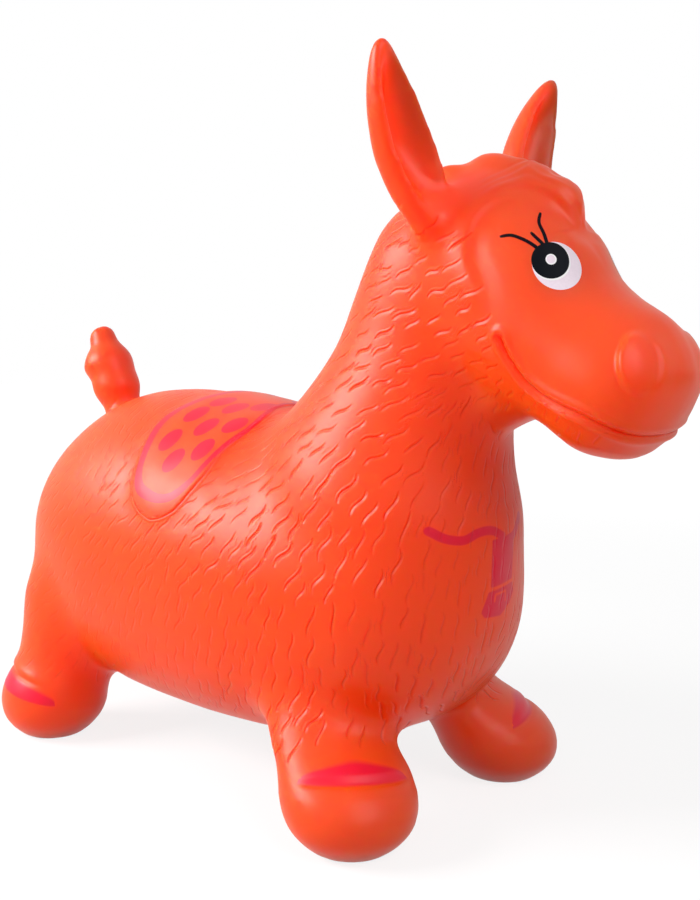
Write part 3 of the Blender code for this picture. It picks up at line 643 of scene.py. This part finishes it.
# Each crescent is soft above and crisp below, and the hind ones lie wholly below their crease.
# Their values are those of a front hoof and a hind one.
HOOF_MIDDLE = (-9, 27)
HOOF_HALF_TURN = 74
HOOF_BELOW_FOLD = (0, 12)
HOOF_TALL = (13, 10)
HOOF_SAG = (0.5, 3.5)
HOOF_TOP = 110
from_middle = np.abs(turn_from_corner - np.where(front, *HOOF_MIDDLE)) / HOOF_HALF_TURN
from_middle = np.clip(from_middle, 0, 1)
from_band = above_fold + np.where(front, *HOOF_BELOW_FOLD)
arch = (1 - from_middle**2) ** 0.35
crescent = np.where(front, *HOOF_TALL) * arch
below_band = from_band + np.where(front, *HOOF_SAG) * arch
hoof = np.minimum((crescent - from_band) / HOOF_SOFT, below_band / HOOF_CRISP)
hoof = np.where((away[:, 2] < HOOF_TOP) & (from_middle < 1), hoof, UNPAINTED)
painted = np.clip(np.maximum(painted, hoof), UNPAINTED, -UNPAINTED)

held = {"stroke_across": across, "stroke_presence": presence, "painted": painted}
for name, values in held.items():
    layer = skin.data.attributes.new(name, "FLOAT", "POINT")
    layer.data.foreach_set("value", values.astype(np.float32))
skin.data.shade_smooth()


class Tone:
    """A shader socket that adds the nodes for the sums that are written with it."""

    def __init__(self, tree, socket):
        self.tree, self.socket = tree, socket

    def math(self, operation, *values, clamp=False):
        node = self.tree.nodes.new("ShaderNodeMath")
        node.operation = operation
        node.use_clamp = clamp
        for entry, value in zip(node.inputs, values):
            if isinstance(value, Tone):
                self.tree.links.new(value.socket, entry)
            else:
                entry.default_value = value
        return Tone(self.tree, node.outputs[0])

    def __add__(self, other):
        return self.math("ADD", self, other)

    def __radd__(self, other):
        return self.math("ADD", other, self)

    def __sub__(self, other):
        return self.math("SUBTRACT", self, other)

    def __rsub__(self, other):
        return self.math("SUBTRACT", other, self)

    def __mul__(self, other):
        return self.math("MULTIPLY", self, other)

    def __rmul__(self, other):
        return self.math("MULTIPLY", other, self)

    def __truediv__(self, other):
        return self.math("DIVIDE", self, other)

    def __abs__(self):
        return self.math("ABSOLUTE", self)

    def clamped(self):
        return self.math("ADD", self, 0, clamp=True)

    def at_most(self, other):
        return self.math("MINIMUM", self, other)

    def into(self, node, name):
        self.tree.links.new(self.socket, node.inputs[name])


def add(tree, kind, settings=(), **values):
    """One node of any kind. Settings are set first, then the sockets' values or links."""
    node = tree.nodes.new(kind)
    for key, value in dict(settings).items():
        setattr(node, key, value)
    for key, value in values.items():
        entry = node.inputs[int(key[1:])] if key[0] == "_" else node.inputs[key.replace("_", " ")]
        if isinstance(value, Tone):
            tree.links.new(value.socket, entry)
        else:
            entry.default_value = value
    return node


def finish_of(name):
    material = bpy.data.materials.new(name)
    material.use_nodes = True
    tree = material.node_tree
    return material, tree, tree.nodes["Principled BSDF"]


def noise(tree, scale, detail=2):
    """A cloudy value from 0 to 1 that keeps its place on the piece."""
    spot = Tone(tree, add(tree, "ShaderNodeTexCoord").outputs["Object"])
    node = add(tree, "ShaderNodeTexNoise", Vector=spot, Scale=scale, Detail=detail)
    return Tone(tree, node.outputs["Fac"])


def blended(tree, share, first, second):
    """One colour that goes to another as the share goes from 0 to 1."""
    node = add(tree, "ShaderNodeMix", {"data_type": "RGBA"}, Factor=share, A=first, B=second)
    return Tone(tree, node.outputs["Result"])


def raised(tree, height, distance, strength=1.0):
    """A surface that is lifted by a height, for the shader's Normal."""
    node = add(tree, "ShaderNodeBump", Strength=strength, Distance=distance, Height=height)
    return Tone(tree, node.outputs["Normal"])


ORANGE = (0.97, 0.060, 0.003, 1)
LIGHT_ORANGE = (0.98, 0.078, 0.005, 1)
# The next red is painted shade: a darker tint laid into the grooves, where shade falls.
GROOVE_SHADE_RED = (0.62, 0.03, 0.004, 1)
MAGENTA = (0.78, 0.001, 0.036, 1)
vinyl, tree, shader = finish_of("orange_vinyl")
stroke, stroke_depth, paint = (
    Tone(tree, add(tree, "ShaderNodeAttribute", {"attribute_name": name}).outputs["Fac"])
    for name in held
)

# A stroke's groove is steep on one side and eases out on the other, with a low lip beside it.
STEEP_SIDE = 0.7
EASY_SIDE = 1.7
LIP_BESIDE = 1.4
BUMP_DEPTH = 0.7 * mm
steep = (1 - stroke / STEEP_SIDE).clamped()
groove = steep.at_most((stroke / EASY_SIDE + 1).clamped()) * stroke_depth
lip = (1 - abs(stroke - LIP_BESIDE)).clamped() * stroke_depth
grain = noise(tree, 900)
cloud = noise(tree, 9, detail=3)
ink = (paint + 0.5).clamped()
# The vinyl's colour is painted a darker red along each groove. This is painted shade in the hollows
# of the strokes, the mouth's line and the saddle's edge, on top of the bump.
shaded_vinyl = blended(tree, groove * 0.55, blended(tree, cloud, ORANGE, LIGHT_ORANGE), GROOVE_SHADE_RED)
blended(tree, ink * 0.96, shaded_vinyl, MAGENTA).into(shader, "Base Color")
(0.36 + 0.08 * cloud - 0.03 * ink).into(shader, "Roughness")
raised(tree, lip * 0.35 - groove + grain * 0.03, BUMP_DEPTH).into(shader, "Normal")
shader.inputs["Subsurface Weight"].default_value = 1.0
shader.inputs["Subsurface Radius"].default_value = (1.0, 0.012, 0.006)
shader.inputs["Subsurface Scale"].default_value = 120 * mm
shader.inputs["Specular IOR Level"].default_value = 0.24
skin.data.materials.clear()
skin.data.materials.append(vinyl)
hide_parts("body_skin")
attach(skin, "horse")

# The eyes are printed on with a soft pad: a pale lilac oval, a black round edged in white with
# a small dot, and three lashes. Each print is a film that lies on the skin, on both cheeks.
EYE_CENTRE = Vector((288.5, -36.5, 392))
HEAD_CENTRE = Vector((270, 0, 380))
PAD_AWAY = 60
skin_tree = BVHTree.FromPolygons(
    [Vector(p) for p in place], [tuple(face.vertices) for face in skin.data.polygons]
)
eye_at = feet_middle + EYE_CENTRE * mm
eye_out = towards_camera
eye_ahead = Vector((0, 0, 1)).cross(eye_out).normalized()
eye_up = eye_out.cross(eye_ahead)


def laid_on(name, rows, lift, closed, material):
    """A film through rows of (ahead, up) points in mm about the eye, pressed on both cheeks."""
    film = bmesh.new()
    for side in (1, -1):
        mirror = Vector((1, side, 1))
        loops = []
        for row in rows:
            loop = []
            for u, v in row:
                start = eye_at + (eye_ahead * u + eye_up * v) * mm + eye_out * PAD_AWAY * mm
                found, normal, _, _ = skin_tree.ray_cast(start, -eye_out)
                loop.append(film.verts.new((found + normal * lift * mm) * mirror))
            loops.append(loop)
        for low, high in zip(loops, loops[1:]):
            count = len(low)
            for i in range(count if closed else count - 1):
                j = (i + 1) % count
                film.faces.new((low[i], low[j], high[j], high[i]))
        if closed:
            film.faces.new(loops[-1])
    bmesh.ops.recalc_face_normals(film, faces=film.faces)
    for face in film.faces:
        face.smooth = True
        outwards = face.calc_center_median() - feet_middle - HEAD_CENTRE * mm
        if face.normal.dot(outwards) < 0:
            face.normal_flip()
    mesh = bpy.data.meshes.new(name)
    film.to_mesh(mesh)
    film.free()
    made = put(name, mesh)
    mesh.materials.append(material)
    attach(made, "horse")


def disc(centre, half_wide, half_tall, tilt, rings=9, sides=56):
    """Rows of points for an oval, from its edge to its middle."""
    rows = []
    for share in np.linspace(1, 0.04, rings):
        row = []
        for angle in np.arange(sides) * 2 * math.pi / sides:
            u, v = math.cos(angle) * half_wide * share, math.sin(angle) * half_tall * share
            row.append(
                (
                    centre[0] + u * math.cos(tilt) - v * math.sin(tilt),
                    centre[1] + u * math.sin(tilt) + v * math.cos(tilt),
                )
            )
        rows.append(row)
    return rows


def ink_of(name, colour, roughness, gloss=0.15):
    material, tree, shader = finish_of(name)
    speck = noise(tree, 700)
    darker = [c * 0.9 for c in colour]
    blended(tree, speck, (*colour, 1), (*darker, 1)).into(shader, "Base Color")
    (roughness + 0.08 * speck).into(shader, "Roughness")
    shader.inputs["Specular IOR Level"].default_value = gloss
    return material


lilac = ink_of("lilac_ink", (0.86, 0.74, 0.83), 0.35)
white = ink_of("white_ink", (0.94, 0.92, 0.94), 0.35)
black = ink_of("black_ink", (0.002, 0.003, 0.006), 0.45, gloss=0.05)

# Each print has its centre, half its width and height, its tilt in degrees and its lift.
EYE_PRINTS = (
    ("eye_oval", (2.6, -1.5), 16.0, 14.7, -45, 0.10, lilac),
    ("eye_rim", (-0.9, 1.2), 12.1, 12.1, 0, 0.14, white),
    ("eye_round", (-1.4, 1.9), 11.7, 11.7, 0, 0.18, black),
    ("eye_dot_rim", (-1.1, 2.5), 3.4, 3.4, 0, 0.22, white),
    ("eye_dot", (-1.2, 2.5), 2.6, 2.6, 0, 0.26, lilac),
)
for name, centre, half_wide, half_tall, tilt, lift, ink in EYE_PRINTS:
    laid_on(name, disc(centre, half_wide, half_tall, math.radians(tilt)), lift, True, ink)
LASH_LIFT = 0.20
LASHES = (
    ((-9.0, 9.6), (-13.5, 13.2), (-18.5, 16.2), (-24.5, 18.6), (-31.0, 18.2)),
    ((-5.8, 12.5), (-9.0, 16.0), (-12.6, 20.2)),
    ((-3.2, 13.2), (-4.6, 19.5), (-6.9, 27.0), (-5.2, 34.0)),
)
for n, lash in enumerate(LASHES):
    line = smooth_line(lash)
    run = np.gradient(line, axis=0)
    run /= np.linalg.norm(run, axis=1)[:, None]
    aside = np.column_stack([-run[:, 1], run[:, 0]])
    rounded = np.minimum(1, np.arange(len(line), 0, -1) / 2.5) ** 0.5
    thick = np.linspace(1.15, 1.0, len(line)) * rounded
    rows = [(line + aside * thick[:, None] * share).tolist() for share in (-1, 0, 1)]
    laid_on(f"lash_{n + 1}", rows, LASH_LIFT, False, black)

# The valve seat is a flanged bush of firmer vinyl, bonded into the belly, and the stopper is a
# turned plug of pale plastic with a coin slot. Both keep their CAD solids.
for node, name, colour, roughness in (
    ("valve_seat", "seat_vinyl", (0.80, 0.055, 0.010), 0.42),
    ("valve_stopper", "stopper_plastic", (0.82, 0.82, 0.79), 0.38),
):
    material, tree, shader = finish_of(name)
    speck = noise(tree, 600, detail=3)
    darker = [c * 0.86 for c in colour]
    blended(tree, speck, (*colour, 1), (*darker, 1)).into(shader, "Base Color")
    (roughness + 0.1 * speck).into(shader, "Roughness")
    raised(tree, speck, 0.05 * mm, strength=0.6).into(shader, "Normal")
    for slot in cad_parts[node].material_slots:
        slot.material = material

# The floor is a white sheet that shows the horse's shadow near it and is plain white far off.
# Light that falls on the horse from it is that of a mid grey.
FLOOR_HALF = 4
FLOOR_DROP = 0.2 * mm
SHADOW_TO = 0.7
SHADOW_FADE = 0.8
floor_mesh = bmesh.new()
bmesh.ops.create_grid(floor_mesh, x_segments=8, y_segments=8, size=FLOOR_HALF)
mesh = bpy.data.meshes.new("floor")
floor_mesh.to_mesh(mesh)
floor_mesh.free()
floor = put("floor", mesh)
floor.location.z = -FLOOR_DROP


def seen_in(tree):
    """1 for a ray that the camera sees, straight, mirrored or through, and 0 for any other."""
    path = add(tree, "ShaderNodeLightPath")
    straight = Tone(tree, path.outputs["Is Camera Ray"])
    mirrored = Tone(tree, path.outputs["Is Glossy Ray"])
    through = Tone(tree, path.outputs["Is Transmission Ray"])
    return (straight + mirrored + through).clamped()


material, tree, shader = finish_of("white_floor")
seen = seen_in(tree)
spot = Tone(tree, add(tree, "ShaderNodeTexCoord").outputs["Object"])
reach = add(tree, "ShaderNodeVectorMath", {"operation": "LENGTH"}, _0=spot)
far = ((Tone(tree, reach.outputs["Value"]) - SHADOW_TO) / SHADOW_FADE).clamped()
(0.5 - seen * (0.34 + 0.16 * far)).into(shader, "Base Color")
(seen * (0.84 + 0.16 * far)).into(shader, "Emission Color")
shader.inputs["Emission Strength"].default_value = 1
shader.inputs["Roughness"].default_value = 0.9
shader.inputs["Specular IOR Level"].default_value = 0.1
mesh.materials.append(material)


# The light is a studio's: one broad soft lamp above the camera's left, a weak one on the right,
# and an even pale room.
def soft_lamp(name, at, aim, size, power):
    lamp = bpy.data.lights.new(name, "AREA")
    lamp.energy = power
    lamp.shape = "RECTANGLE"
    lamp.size, lamp.size_y = size
    made = bpy.data.objects.new(name, lamp)
    scene.collection.objects.link(made)
    made.location = at
    made.rotation_mode = "QUATERNION"
    made.rotation_quaternion = (Vector(aim) - Vector(at)).to_track_quat("-Z", "Y")


soft_lamp("key_lamp", (-1.12, -1.25, 1.12), (0, 0, 0.22), (1.1, 0.7), 53)
soft_lamp("side_lamp", (1.35, -0.35, 1.25), (0.15, 0, 0.3), (0.9, 0.9), 13)
world = bpy.data.worlds.new("room")
scene.world = world
world.use_nodes = True
tree = world.node_tree
room = tree.nodes["Background"]
room.inputs["Color"].default_value = (1, 1, 1, 1)
(0.24 + 0.76 * seen_in(tree)).into(room, "Strength")
scene.view_settings.view_transform = "Standard"
